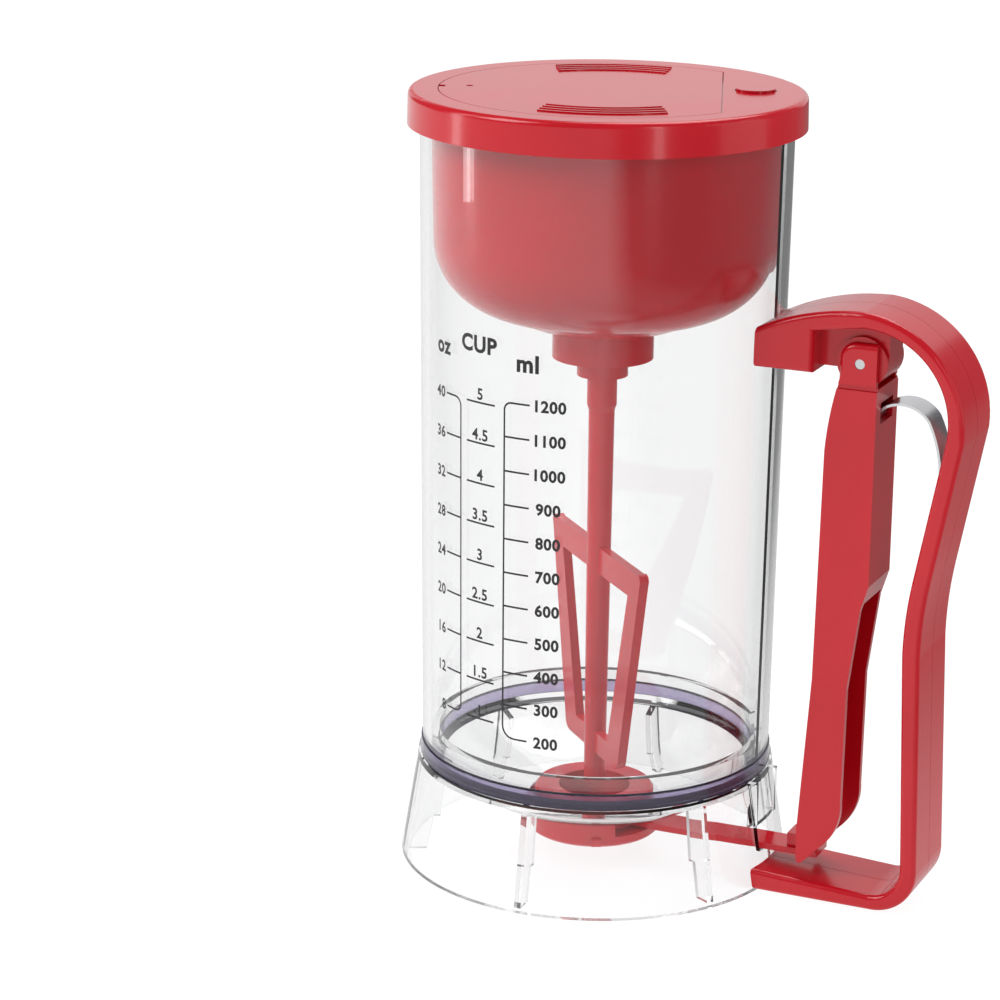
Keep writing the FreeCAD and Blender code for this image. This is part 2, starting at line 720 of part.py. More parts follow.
# Lid: plate with a bay opening, a rebate for the battery cover and a rim over the tube
rim_inner = s.tube_rim_radius + s.slide_fit
lid_radius = rim_inner + s.lid_rim_wall
button_offset = lid_radius - s.button_inset
lid_bottom = s.lid_top_level - s.lid_rim_height
plate_bottom = s.lid_top_level - s.lid_plate
plug_radius = s.tube_rim_radius - s.tube_wall - s.slide_fit
groove_level = s.tube_rim_level + s.slide_fit
round_off = s.lid_edge_round
lid = turned("lid_shell", [
    (0, plate_bottom),
    (plug_radius, plate_bottom),
    (plug_radius, groove_level),
    (rim_inner, groove_level),
    (rim_inner, lid_bottom),
    (lid_radius, lid_bottom),
    (lid_radius - 0.2, s.lid_top_level - round_off,
     lid_radius - 0.2 - round_off * 0.3, s.lid_top_level - round_off * 0.3),
    (lid_radius - 0.2 - round_off, s.lid_top_level),
    (0, s.lid_top_level),
])


def d_plate(name, radius, chord, height, level):
    """D-shaped plate whose straight edge faces the button."""
    disc = cylinder(name + "_disc", radius, height, 0, 0, level)
    keep = box(name + "_keep", radius + chord, 2 * radius, height, -radius, -radius, level)
    return common(name, disc, keep)


cover_level = s.lid_top_level - s.cover_thickness
rebate = turn_about_z(d_plate("cover_rebate", s.cover_radius, s.cover_chord,
                              s.cover_thickness + 1, cover_level), s.cover_angle)
bay = turn_about_z(d_plate("bay_opening", s.bay_radius, s.bay_chord, s.lid_plate + 2,
                           plate_bottom - 1), s.cover_angle)
button_hole = turn_about_z(group("button_way", cylinder(
    "button_bore", s.button_radius + s.slide_fit, s.lid_plate + 2, button_offset, 0,
    plate_bottom - 1)), s.button_angle)
flange_room = turn_about_z(group("flange_way", box(
    "flange_pocket", 8.8, 17.8, 2.1, button_offset - 4.4, -8.9, plate_bottom)), s.button_angle)
lid_screw_radius = s.housing_waist_radius - s.housing_wall - 2.0
lid_bores = []
lid_screws = []
boss_columns = []
boss_height = 10
for i, angle in enumerate((80, 200, 320)):
    spot_x = lid_screw_radius * math.cos(math.radians(angle))
    spot_y = lid_screw_radius * math.sin(math.radians(angle))
    lid_bores.append(cylinder("lid_bore_%d" % i, 1.2, 2.4, spot_x, spot_y, plate_bottom))
    boss_columns.append((spot_x, spot_y))
    lid_shank = cylinder("lid_shank_%d" % i, 1.2, boss_height + 2.2, spot_x, spot_y,
                         plate_bottom - boss_height)
    lid_head = cylinder("lid_head_%d" % i, 2.4, 1.6, spot_x, spot_y, plate_bottom - boss_height - 1.6)
    lid_screws.append(fuse("lid_screw_%d" % i, lid_shank, lid_head))
lid_rooms = fuse("lid_rooms", rebate, bay, button_hole, flange_room, *lid_bores)
node(cut("lid_cut", lid, lid_rooms), "lid_cover")
node(group("lid_screw_group", *lid_screws), "lid_screws")

cover = d_plate("cover_plate", s.cover_radius - s.slide_fit, s.cover_chord - s.slide_fit,
                s.cover_thickness, cover_level)
latch_notch = box("latch_notch", 2.2, 3.0, s.cover_thickness + 1, -s.cover_radius, -1.5, cover_level - 0.5)
release_slot = cylinder("release_slot", 1.1, s.cover_thickness + 1, -s.cover_radius + 9.7, 1.2,
                        cover_level - 0.5)
ridges = []
for side, count, first, half_angle in ((-90, 4, 35.0, 29), (90, 4, 37.0, 27)):
    for i in range(count):
        radius = first + 3.6 * i
        outer_ring = cylinder("ridge_outer_%d_%d" % (side + 90, i), radius + 0.9, s.ridge_height + 0.2,
                              0, 0, s.lid_top_level - 0.2)
        inner_ring = cylinder("ridge_inner_%d_%d" % (side + 90, i), radius, s.ridge_height + 0.2,
                              0, 0, s.lid_top_level - 0.2)
        for piece in (outer_ring, inner_ring):
            piece.Angle = 2 * half_angle - 3 * i
        ridge = cut("ridge_%d_%d" % (side + 90, i), outer_ring, inner_ring)
        ridge.Placement = Placement(Vector(), Rotation(Vector(0, 0, 1), side - half_angle + 1.5 * i))
        ridges.append(ridge)
cover_cut = cut("cover_cut", fuse("cover_solid", cover, *ridges),
                fuse("cover_rooms", latch_notch, release_slot))
node(turn_about_z(cover_cut, s.cover_angle), "battery_cover")

button_top = s.lid_top_level + s.button_rise
flange_level = plate_bottom + 0.4
button_cap = cylinder("button_cap", s.button_radius, button_top - flange_level, button_offset, 0,
                      flange_level)
button_flange = box("button_flange", 8.0, 17.0, 1.4, button_offset - 4, -8.5, flange_level)
stem_length = 3.3
button_stem = cylinder("button_stem", 2.0, stem_length + 1, button_offset, 0,
                       flange_level - stem_length)
node(turn_about_z(fuse("button_solid", button_cap, button_flange, button_stem), s.button_angle),
     "power_button")

# Drive housing: a thin bowl with two stepped collars for the stirrer drive
wall = s.housing_wall
housing = turned("housing_shell", [
    (s.housing_radius, plate_bottom),
    (s.housing_radius - wall, plate_bottom),
    (s.housing_waist_radius - wall, s.bowl_start_level,
     s.housing_waist_radius - wall - 6.5, s.bowl_start_level - 16.2),
    (s.nose_collar_radius + 14, s.bowl_floor_level + wall + 5.0,
     s.nose_collar_radius + 6, s.bowl_floor_level + wall + 1.8),
    (s.nose_collar_radius - wall, s.bowl_floor_level + wall),
    (s.nose_collar_radius - wall, s.nose_collar_level + wall),
    (s.bush_collar_radius - wall, s.nose_collar_level + wall),
    (s.bush_collar_radius - wall, s.bush_collar_level),
    (s.bush_collar_radius, s.bush_collar_level),
    (s.bush_collar_radius, s.nose_collar_level),
    (s.nose_collar_radius, s.nose_collar_level),
    (s.nose_collar_radius, s.bowl_floor_level,
     s.nose_collar_radius + 7.5, s.bowl_floor_level + 1.9),
    (s.nose_collar_radius + 15, s.bowl_floor_level + 5.2,
     s.housing_waist_radius - 6.0, s.bowl_start_level - 17.4),
    (s.housing_waist_radius, s.bowl_start_level),
])
columns = [cylinder("housing_column_%d" % i, 3.0, boss_height, x, y, plate_bottom - boss_height)
           for i, (x, y) in enumerate(boss_columns)]
column_bores = [cylinder("column_bore_%d" % i, 1.3, boss_height + 2, x, y,
                         plate_bottom - boss_height - 1)
                for i, (x, y) in enumerate(boss_columns)]
node(cut("housing_cut", fuse("housing_solid", housing, *columns),
         fuse("column_bores", *column_bores)), "motor_housing")

# Battery tray with four cells, contacts and the switch shelf
tray_inner_length = s.cell_length + 2 * s.contact_gap
tray_inner_width = 4 * s.cell_pitch
tray_top = plate_bottom - s.seat_fit
cell_level = tray_top - s.cell_radius - 0.8
tray_floor = cell_level - s.cell_radius - s.tray_wall
tray_length = tray_inner_length + 2 * s.tray_wall
tray_width = tray_inner_width + 2 * s.tray_wall
tray_block = box("tray_block", tray_length, tray_width, tray_top - tray_floor,
                 -tray_length / 2, -tray_width / 2, tray_floor)
tray_hollow = box("tray_hollow", tray_inner_length, tray_inner_width, tray_top - tray_floor,
                  -tray_inner_length / 2, -tray_inner_width / 2, tray_floor + s.tray_wall)
shelf_top = flange_level - stem_length - s.button_travel - s.slide_fit - s.switch_height
shelf = box("switch_shelf", button_offset + 4 - tray_length / 2, 16, 2,
            tray_length / 2, -5, shelf_top - 2)
leg_foot = s.motor_level
legs = [cylinder("tray_leg_%d" % i, 3.0, tray_floor - leg_foot + 0.5, 0,
                 side * (s.motor_radius + 14), leg_foot) for i, side in enumerate((-1, 1))]
tray_cut = cut("tray_cut", fuse("tray_solid", tray_block, shelf, *legs), tray_hollow)
node(turn_about_z(tray_cut, s.cover_angle), "battery_tray")
for i in range(4):
    offset = (i - 1.5) * s.cell_pitch
    can = cylinder("cell_can_%d" % i, s.cell_radius, s.cell_length - 1.2, -s.cell_length / 2,
                   offset, cell_level, along="x")
    tip = cylinder("cell_tip_%d" % i, 2.6, 1.4, s.cell_length / 2 - 1.4, offset, cell_level, along="x")
    node(turn_about_z(fuse("cell_%d" % (i + 1), can, tip), s.cover_angle), "battery_%d" % (i + 1))
strips = []
for i, side in enumerate((-1, 1)):
    start = side * tray_inner_length / 2 - (0.4 if side > 0 else 0)
    strips.append(box("contact_strip_%d" % i, 0.4, tray_inner_width - 1, 9, start,
                      -(tray_inner_width - 1) / 2, cell_level - 4.5))
buds = [cylinder("contact_bud_%d" % i, 2.2, s.contact_gap - 0.4, s.cell_length / 2 + 0.05,
                 (i - 1.5) * s.cell_pitch, cell_level, along="x") for i in range(4)]
node(turn_about_z(group("contact_group", fuse("button_contacts", strips[1], *buds)), s.cover_angle),
     "contact_plate")
coils = [cylinder("contact_coil_%d" % i, 3.0, s.contact_gap - 0.5, -s.cell_length / 2 - s.contact_gap + 0.4,
                  (i - 1.5) * s.cell_pitch, cell_level, along="x") for i in range(4)]
node(turn_about_z(group("coil_group", fuse("spring_contacts", strips[0], *coils)), s.cover_angle),
     "contact_springs")
switch = box("switch_block", s.switch_side, s.switch_side, s.switch_height,
             button_offset - s.switch_side / 2, -s.switch_side / 2, shelf_top)
node(turn_about_z(group("switch_turned", switch), s.button_angle), "switch_body")

# Motor on its bracket, coupling, drive shaft, bush and lip seal
node(cylinder("motor_can", s.motor_radius, s.motor_length, 0, 0, s.motor_level), "motor")
bracket_level = s.motor_level - s.bracket_thickness
bracket_radius = s.housing_waist_radius - s.housing_wall - 5.6
bracket = cylinder("bracket_disc", bracket_radius, s.bracket_thickness, 0, 0, bracket_level)
bracket_bore = cylinder("bracket_bore", s.coupling_radius + 0.5, s.bracket_thickness + 2, 0, 0,
                        bracket_level - 1)
motor_screws = []
screw_bores = []
for i, side in enumerate((-1, 1)):
    x = side * 8.0
    screw_bores.append(cylinder("motor_bore_%d" % i, 1.3, s.bracket_thickness + 2, x, 0, bracket_level - 1))
    motor_shank = cylinder("motor_shank_%d" % i, 1.2, s.bracket_thickness + 0.1, x, 0, bracket_level - 0.1)
    motor_head = cylinder("motor_head_%d" % i, 2.2, 1.3, x, 0, bracket_level - 1.3)
    motor_screws.append(fuse("motor_screw_%d" % i, motor_shank, motor_head))
node(cut("bracket_cut", bracket, fuse("bracket_rooms", bracket_bore, *screw_bores)), "motor_bracket")
node(group("motor_screw_group", *motor_screws), "motor_screws")
drive_foot = s.hub_level - 8
drive_top = bracket_level - 3
node(cylinder("drive_rod", s.drive_radius, drive_top - drive_foot, 0, 0, drive_foot), "drive_shaft")
coupling_level = s.bowl_floor_level + 1.5
coupling_bar = cylinder("coupling_bar", s.coupling_radius, s.motor_level - 0.3 - coupling_level, 0, 0,
                        coupling_level)
coupling_hole = cylinder("coupling_hole", s.drive_radius, drive_top - coupling_level + 1, 0, 0,
                         coupling_level - 1)
node(cut("coupling_cut", coupling_bar, coupling_hole), "shaft_coupling")
bush_outer = s.bush_collar_radius - wall - s.seat_fit
bush_level = s.bush_collar_level + 3
bush = cylinder("bush_bar", bush_outer, 6.5, 0, 0, bush_level)
bush_hole = cylinder("bush_hole", s.drive_radius + 0.05, 8.5, 0, 0, bush_level - 1)
node(cut("bush_cut", bush, bush_hole), "shaft_bush")
seal = cylinder("seal_bar", bush_outer, 2.4, 0, 0, s.bush_collar_level + 0.4)
seal_hole = cylinder("seal_hole", s.drive_radius + 0.08, 4.4, 0, 0, s.bush_collar_level - 0.6)
node(cut("seal_cut", seal, seal_hole), "lip_seal")

# Stirrer: hub, tapered shaft and an open paddle frame in one moulding
hub_top = s.bush_collar_level - s.slide_fit
stem = turned("stirrer_stem", [
    (0, s.stirrer_foot_level),
    (s.stirrer_foot_radius - 0.6, s.stirrer_foot_level),
    (s.stirrer_foot_radius, s.stirrer_foot_level + 0.6),
    (s.stirrer_radius, s.hub_level - 2),
    (s.hub_radius, s.hub_level),
    (s.hub_radius, hub_top),
    (s.drive_radius, hub_top),
    (s.drive_radius, drive_foot),
    (0, drive_foot),
])
frame = plate("paddle_plate", "XZ_Plane", [
    (-s.paddle_foot_half + 3.4, s.paddle_foot_level),
    (s.paddle_foot_half - 3.4, s.paddle_foot_level, s.paddle_foot_half - 0.8, s.paddle_foot_level + 0.9),
    (s.paddle_foot_half + 0.6, s.paddle_foot_level + 3.8),
    (s.paddle_top_half, s.paddle_top_level - 3, s.paddle_top_half + 0.2, s.paddle_top_level - 0.8),
    (s.paddle_top_half - 3, s.paddle_top_level),
    (-s.paddle_top_half + 3, s.paddle_top_level, -s.paddle_top_half - 0.2, s.paddle_top_level - 0.8),
    (-s.paddle_top_half, s.paddle_top_level - 3),
    (-s.paddle_foot_half - 0.6, s.paddle_foot_level + 3.8, 0.8 - s.paddle_foot_half,
     s.paddle_foot_level + 0.9),
], s.paddle_thickness)
window = plate("paddle_window", "XZ_Plane", [
    (s.paddle_foot_half - s.paddle_bar, s.paddle_foot_level + 7),
    (s.paddle_top_half - s.paddle_bar - 0.5, s.paddle_top_level - s.paddle_bar),
    (-s.paddle_top_half + s.paddle_bar + 0.5, s.paddle_top_level - s.paddle_bar),
    (-s.paddle_foot_half + s.paddle_bar, s.paddle_foot_level + 7),
], s.paddle_thickness + 2)
paddle = turn_about_z(cut("paddle_frame", frame, window), s.paddle_angle)
node(fuse("stirrer_solid", stem, paddle), "stirrer")

doc.recompute()

# Every object is sound before anything is written
faults = []
for obj in doc.Objects:
    if "Invalid" in obj.State or "Error" in obj.State:
        faults.append("%s: %s" % (obj.Name, obj.State))
for obj in nodes:
    if obj.Shape.isNull() or not obj.Shape.isValid():
        faults.append("%s: bad shape" % obj.Label)
if faults:
    raise RuntimeError("; ".join(faults))

os.makedirs("parts", exist_ok=True)
for obj in nodes:
    obj.Shape.exportStep("parts/%s.step" % obj.Label)
    limits = obj.Shape.BoundBox
    print("%-18s solids %d volume %9.1f x %7.2f %7.2f y %7.2f %7.2f z %7.2f %7.2f" % (
        obj.Label, len(obj.Shape.Solids), obj.Shape.Volume, limits.XMin, limits.XMax,
        limits.YMin, limits.YMax, limits.ZMin, limits.ZMax))
print("nodes", len(nodes))
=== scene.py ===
import json
import math

import bmesh
import bpy
from mathutils import Matrix, Vector

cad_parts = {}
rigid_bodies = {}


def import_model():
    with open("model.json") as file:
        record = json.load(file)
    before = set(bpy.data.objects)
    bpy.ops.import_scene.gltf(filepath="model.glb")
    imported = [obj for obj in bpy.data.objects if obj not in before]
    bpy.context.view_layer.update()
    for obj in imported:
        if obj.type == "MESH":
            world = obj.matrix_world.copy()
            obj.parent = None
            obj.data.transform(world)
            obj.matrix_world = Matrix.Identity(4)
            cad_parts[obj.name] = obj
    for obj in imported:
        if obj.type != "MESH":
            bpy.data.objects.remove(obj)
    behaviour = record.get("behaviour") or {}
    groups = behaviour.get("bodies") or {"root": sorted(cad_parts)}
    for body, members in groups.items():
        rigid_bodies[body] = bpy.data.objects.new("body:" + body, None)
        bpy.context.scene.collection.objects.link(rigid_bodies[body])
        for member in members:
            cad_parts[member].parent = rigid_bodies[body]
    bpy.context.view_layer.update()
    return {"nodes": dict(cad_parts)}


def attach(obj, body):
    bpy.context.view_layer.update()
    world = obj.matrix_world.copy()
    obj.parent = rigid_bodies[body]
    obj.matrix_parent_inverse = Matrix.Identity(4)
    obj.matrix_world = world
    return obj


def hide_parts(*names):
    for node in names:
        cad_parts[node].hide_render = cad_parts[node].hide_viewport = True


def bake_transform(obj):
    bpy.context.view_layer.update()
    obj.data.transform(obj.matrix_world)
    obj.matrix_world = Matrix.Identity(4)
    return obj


for old in list(bpy.data.objects):
    bpy.data.objects.remove(old)
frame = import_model()
nodes = frame["nodes"]

# Glossy red plastic of the handle, trigger, lid, housing, stirrer and valve.
# A cloudy tint and a faint moulded ripple keep the long smooth faces alive.
red = bpy.data.materials.new("Red gloss plastic")
red.use_nodes = True
tree = red.node_tree
bsdf = tree.nodes["Principled BSDF"]
coord = tree.nodes.new("ShaderNodeTexCoord")
cloud = tree.nodes.new("ShaderNodeTexNoise")
cloud.inputs["Scale"].default_value = 22.0
cloud.inputs["Detail"].default_value = 3.0
tree.links.new(coord.outputs["Object"], cloud.inputs["Vector"])
tint = tree.nodes.new("ShaderNodeValToRGB")
tint.color_ramp.elements[0].position = 0.3
tint.color_ramp.elements[0].color = (0.50, 0.0030, 0.0105, 1)
tint.color_ramp.elements[1].position = 0.7
tint.color_ramp.elements[1].color = (0.57, 0.0042, 0.0135, 1)
tree.links.new(cloud.outputs["Fac"], tint.inputs["Fac"])
tree.links.new(tint.outputs["Color"], bsdf.inputs["Base Color"])
gloss = tree.nodes.new("ShaderNodeMapRange")
gloss.inputs["To Min"].default_value = 0.16
gloss.inputs["To Max"].default_value = 0.24
tree.links.new(cloud.outputs["Fac"], gloss.inputs["Value"])
tree.links.new(gloss.outputs["Result"], bsdf.inputs["Roughness"])
ripple = tree.nodes.new("ShaderNodeTexNoise")
ripple.inputs["Scale"].default_value = 160.0
ripple.inputs["Detail"].default_value = 2.0
tree.links.new(coord.outputs["Object"], ripple.inputs["Vector"])
bump = tree.nodes.new("ShaderNodeBump")
bump.inputs["Strength"].default_value = 0.04
bump.inputs["Distance"].default_value = 0.0004
tree.links.new(ripple.outputs["Fac"], bump.inputs["Height"])
tree.links.new(bump.outputs["Normal"], bsdf.inputs["Normal"])
bsdf.inputs["Coat Weight"].default_value = 0.15
bsdf.inputs["Coat Roughness"].default_value = 0.06
for name in ("handle_near_half", "handle_far_half", "trigger", "lid_cover", "battery_cover", "power_button",
             "motor_housing", "stirrer", "valve_slide", "outlet_ring", "outlet_seat"):
    nodes[name].data.materials.clear()
    nodes[name].data.materials.append(red)

# Clear glossy plastic of the tube and the base.
# Light passes almost untinted and the thick rims gather a cool violet grey.
clear = bpy.data.materials.new("Clear plastic")
clear.use_nodes = True
tree = clear.node_tree
bsdf = tree.nodes["Principled BSDF"]
coord = tree.nodes.new("ShaderNodeTexCoord")
haze = tree.nodes.new("ShaderNodeTexNoise")
haze.inputs["Scale"].default_value = 30.0
haze.inputs["Detail"].default_value = 4.0
tree.links.new(coord.outputs["Object"], haze.inputs["Vector"])
rough = tree.nodes.new("ShaderNodeMapRange")
rough.inputs["To Min"].default_value = 0.0
rough.inputs["To Max"].default_value = 0.03
tree.links.new(haze.outputs["Fac"], rough.inputs["Value"])
tree.links.new(rough.outputs["Result"], bsdf.inputs["Roughness"])
veil = tree.nodes.new("ShaderNodeValToRGB")
veil.color_ramp.elements[0].color = (0.930, 0.932, 0.932, 1)
veil.color_ramp.elements[1].color = (0.950, 0.951, 0.951, 1)
tree.links.new(haze.outputs["Fac"], veil.inputs["Fac"])
tree.links.new(veil.outputs["Color"], bsdf.inputs["Base Color"])
bsdf.inputs["Transmission Weight"].default_value = 1.0
bsdf.inputs["IOR"].default_value = 1.5
path = tree.nodes.new("ShaderNodeLightPath")
through = tree.nodes.new("ShaderNodeBsdfTransparent")
through.inputs["Color"].default_value = (0.93, 0.92, 0.95, 1)
pass_on = tree.nodes.new("ShaderNodeMixShader")
tree.links.new(path.outputs["Is Shadow Ray"], pass_on.inputs["Fac"])
tree.links.new(bsdf.outputs["BSDF"], pass_on.inputs[1])
tree.links.new(through.outputs["BSDF"], pass_on.inputs[2])
tree.links.new(pass_on.outputs["Shader"], tree.nodes["Material Output"].inputs["Surface"])
for name in ("container_tube", "base"):
    nodes[name].data.materials.clear()
    nodes[name].data.materials.append(clear)

# Violet grey seal band at the tube's foot and the lip seal in the lid.
# A soft half-clear rubber with a fine mottled grain.
rubber = bpy.data.materials.new("Seal rubber")
rubber.use_nodes = True
tree = rubber.node_tree
bsdf = tree.nodes["Principled BSDF"]
coord = tree.nodes.new("ShaderNodeTexCoord")
grain = tree.nodes.new("ShaderNodeTexNoise")
grain.inputs["Scale"].default_value = 400.0
tree.links.new(coord.outputs["Object"], grain.inputs["Vector"])
shade = tree.nodes.new("ShaderNodeValToRGB")
shade.color_ramp.elements[0].color = (0.38, 0.33, 0.52, 1)
shade.color_ramp.elements[1].color = (0.50, 0.45, 0.64, 1)
tree.links.new(grain.outputs["Fac"], shade.inputs["Fac"])
tree.links.new(shade.outputs["Color"], bsdf.inputs["Base Color"])
bsdf.inputs["Roughness"].default_value = 0.12
bsdf.inputs["Transmission Weight"].default_value = 0.92
bsdf.inputs["IOR"].default_value = 1.45
for name in ("joint_seal", "lip_seal"):
    nodes[name].data.materials.clear()
    nodes[name].data.materials.append(rubber)

# Bright steel of the leaf spring, contacts, pins and screws.
# Fine lengthwise brushing streaks the polish.
steel = bpy.data.materials.new("Bright steel")
steel.use_nodes = True
tree = steel.node_tree
bsdf = tree.nodes["Principled BSDF"]
bsdf.inputs["Metallic"].default_value = 1.0
coord = tree.nodes.new("ShaderNodeTexCoord")
stretch = tree.nodes.new("ShaderNodeMapping")
stretch.inputs["Scale"].default_value = (40.0, 1800.0, 40.0)
streak = tree.nodes.new("ShaderNodeTexNoise")
streak.inputs["Scale"].default_value = 1.0
streak.inputs["Detail"].default_value = 3.0
tree.links.new(coord.outputs["Object"], stretch.inputs["Vector"])
tree.links.new(stretch.outputs["Vector"], streak.inputs["Vector"])
shade = tree.nodes.new("ShaderNodeValToRGB")
shade.color_ramp.elements[0].color = (0.60, 0.60, 0.61, 1)
shade.color_ramp.elements[1].color = (0.80, 0.80, 0.81, 1)
tree.links.new(streak.outputs["Fac"], shade.inputs["Fac"])
tree.links.new(shade.outputs["Color"], bsdf.inputs["Base Color"])
polish = tree.nodes.new("ShaderNodeMapRange")
polish.inputs["To Min"].default_value = 0.16
polish.inputs["To Max"].default_value = 0.30
tree.links.new(streak.outputs["Fac"], polish.inputs["Value"])
tree.links.new(polish.outputs["Result"], bsdf.inputs["Roughness"])
for name in ("leaf_spring", "pivot_pin", "link_pin", "handle_screws", "lid_screws", "motor_screws",
             "contact_plate", "contact_springs", "drive_shaft", "motor"):
    nodes[name].data.materials.clear()
    nodes[name].data.materials.append(steel)

# Leaf spring as one strip copied from the modelled piece, which is hidden.
# The strip keeps the modelled shape.
bm = bmesh.new()
bm.from_mesh(nodes["leaf_spring"].data)
bm.transform(nodes["leaf_spring"].matrix_world)
strip_mesh = bpy.data.meshes.new("bending_leaf_spring")
bm.to_mesh(strip_mesh)
bm.free()
strip_mesh.materials.clear()
strip_mesh.materials.append(steel)
strip = bpy.data.objects.new("bending_leaf_spring", strip_mesh)
bpy.context.scene.collection.objects.link(strip)
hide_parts("leaf_spring")
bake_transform(strip)

# Bronze bush that carries the drive shaft.
# A warm metal with a mottled turned surface.
bronze = bpy.data.materials.new("Bush bronze")
bronze.use_nodes = True
tree = bronze.node_tree
bsdf = tree.nodes["Principled BSDF"]
bsdf.inputs["Metallic"].default_value = 1.0
bsdf.inputs["Roughness"].default_value = 0.35
coord = tree.nodes.new("ShaderNodeTexCoord")
mottle = tree.nodes.new("ShaderNodeTexNoise")
mottle.inputs["Scale"].default_value = 300.0
tree.links.new(coord.outputs["Object"], mottle.inputs["Vector"])
shade = tree.nodes.new("ShaderNodeValToRGB")
shade.color_ramp.elements[0].color = (0.40, 0.24, 0.10, 1)
shade.color_ramp.elements[1].color = (0.58, 0.38, 0.17, 1)
tree.links.new(mottle.outputs["Fac"], shade.inputs["Fac"])
tree.links.new(shade.outputs["Color"], bsdf.inputs["Base Color"])
nodes["shaft_bush"].data.materials.clear()
nodes["shaft_bush"].data.materials.append(bronze)

# Black plastic of the battery tray, bracket, coupling and switch, inside the lid.
# A fine spark-eroded grain.
black = bpy.data.materials.new("Black satin plastic")
black.use_nodes = True
tree = black.node_tree
bsdf = tree.nodes["Principled BSDF"]
coord = tree.nodes.new("ShaderNodeTexCoord")
grain = tree.nodes.new("ShaderNodeTexNoise")
grain.inputs["Scale"].default_value = 900.0
tree.links.new(coord.outputs["Object"], grain.inputs["Vector"])
shade = tree.nodes.new("ShaderNodeValToRGB")
shade.color_ramp.elements[0].color = (0.012, 0.012, 0.013, 1)
shade.color_ramp.elements[1].color = (0.03, 0.03, 0.033, 1)
tree.links.new(grain.outputs["Fac"], shade.inputs["Fac"])
tree.links.new(shade.outputs["Color"], bsdf.inputs["Base Color"])
bsdf.inputs["Roughness"].default_value = 0.45
for name in ("battery_tray", "motor_bracket", "shaft_coupling", "switch_body"):
    nodes[name].data.materials.clear()
    nodes[name].data.materials.append(black)

# Skin of the four cells: a dark wrap with a copper band towards one end.
# The band is placed by the distance along the cells in object space.
cell = bpy.data.materials.new("Cell wrap")
cell.use_nodes = True
tree = cell.node_tree
bsdf = tree.nodes["Principled BSDF"]
bsdf.inputs["Metallic"].default_value = 0.6
bsdf.inputs["Roughness"].default_value = 0.3
coord = tree.nodes.new("ShaderNodeTexCoord")
along = tree.nodes.new("ShaderNodeVectorMath")
along.operation = "DOT_PRODUCT"
along.inputs[1].default_value = (math.cos(math.radians(20.4)), math.sin(math.radians(20.4)), 0)
tree.links.new(coord.outputs["Object"], along.inputs[0])
place = tree.nodes.new("ShaderNodeMapRange")
place.inputs["From Min"].default_value = -0.026
place.inputs["From Max"].default_value = 0.026
tree.links.new(along.outputs["Value"], place.inputs["Value"])
band = tree.nodes.new("ShaderNodeValToRGB")
band.color_ramp.interpolation = "CONSTANT"
band.color_ramp.elements[0].color = (0.015, 0.016, 0.02, 1)
band.color_ramp.elements[1].position = 0.7
band.color_ramp.elements[1].color = (0.55, 0.27, 0.10, 1)
tree.links.new(place.outputs["Result"], band.inputs["Fac"])
tree.links.new(band.outputs["Color"], bsdf.inputs["Base Color"])
for name in ("battery_1", "battery_2", "battery_3", "battery_4"):
    nodes[name].data.materials.clear()
    nodes[name].data.materials.append(cell)

# Black printing ink of the scales.
# Slightly uneven cover, as from a printing pad.
ink = bpy.data.materials.new("Printing ink")
ink.use_nodes = True
tree = ink.node_tree
bsdf = tree.nodes["Principled BSDF"]
coord = tree.nodes.new("ShaderNodeTexCoord")
cover = tree.nodes.new("ShaderNodeTexNoise")
cover.inputs["Scale"].default_value = 700.0
tree.links.new(coord.outputs["Object"], cover.inputs["Vector"])
shade = tree.nodes.new("ShaderNodeValToRGB")
shade.color_ramp.elements[0].color = (0.006, 0.006, 0.007, 1)
shade.color_ramp.elements[1].color = (0.02, 0.02, 0.022, 1)
tree.links.new(cover.outputs["Fac"], shade.inputs["Fac"])
tree.links.new(shade.outputs["Color"], bsdf.inputs["Base Color"])
bsdf.inputs["Roughness"].default_value = 0.4

# Sizes of the prints and of the tube's cone that they follow, in metres.
# Every print is drawn flat, in degrees and metres, and then bent onto the tube.
print_radius = 0.0573
tube_foot_radius = 0.0562
tube_foot_level = 0.0388
tube_height = 0.2082
tube_taper = 0.0019
ink_lift = 0.00006
half = 0.0003


def scale_level(millilitres):
    """Height of a mark on the tube for a filling in millilitres."""
    return 0.0549 + (millilitres - 200) * 0.0001077


def wrapped(name, mesh):
    """Bends a flat print, drawn in degrees round the tube and metres up, onto the tube's cone."""
    for vert in mesh.vertices:
        turn, height = math.radians(vert.co.x), vert.co.y
        radius = tube_foot_radius + (height - tube_foot_level) / tube_height * tube_taper + ink_lift
        vert.co = Vector((radius * math.cos(turn), radius * math.sin(turn), height))
    mesh.materials.append(ink)
    piece = bpy.data.objects.new(name, mesh)
    bpy.context.scene.collection.objects.link(piece)
    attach(piece, "container")
    return piece


def bars(name, strips):
    """One print of straight bars, each given as first angle, last angle, bottom and top."""
    bm = bmesh.new()
    for a0, a1, z0, z1 in strips:
        steps = max(1, int(abs(a1 - a0) / 1.5))
        rows = []
        for i in range(steps + 1):
            a = a0 + (a1 - a0) * i / steps
            rows.append((bm.verts.new((a, z0, 0)), bm.verts.new((a, z1, 0))))
        for (p, q), (r, t) in zip(rows, rows[1:]):
            bm.faces.new((p, r, t, q))
    mesh = bpy.data.meshes.new(name)
    bm.to_mesh(mesh)
    bm.free()
    return wrapped(name, mesh)


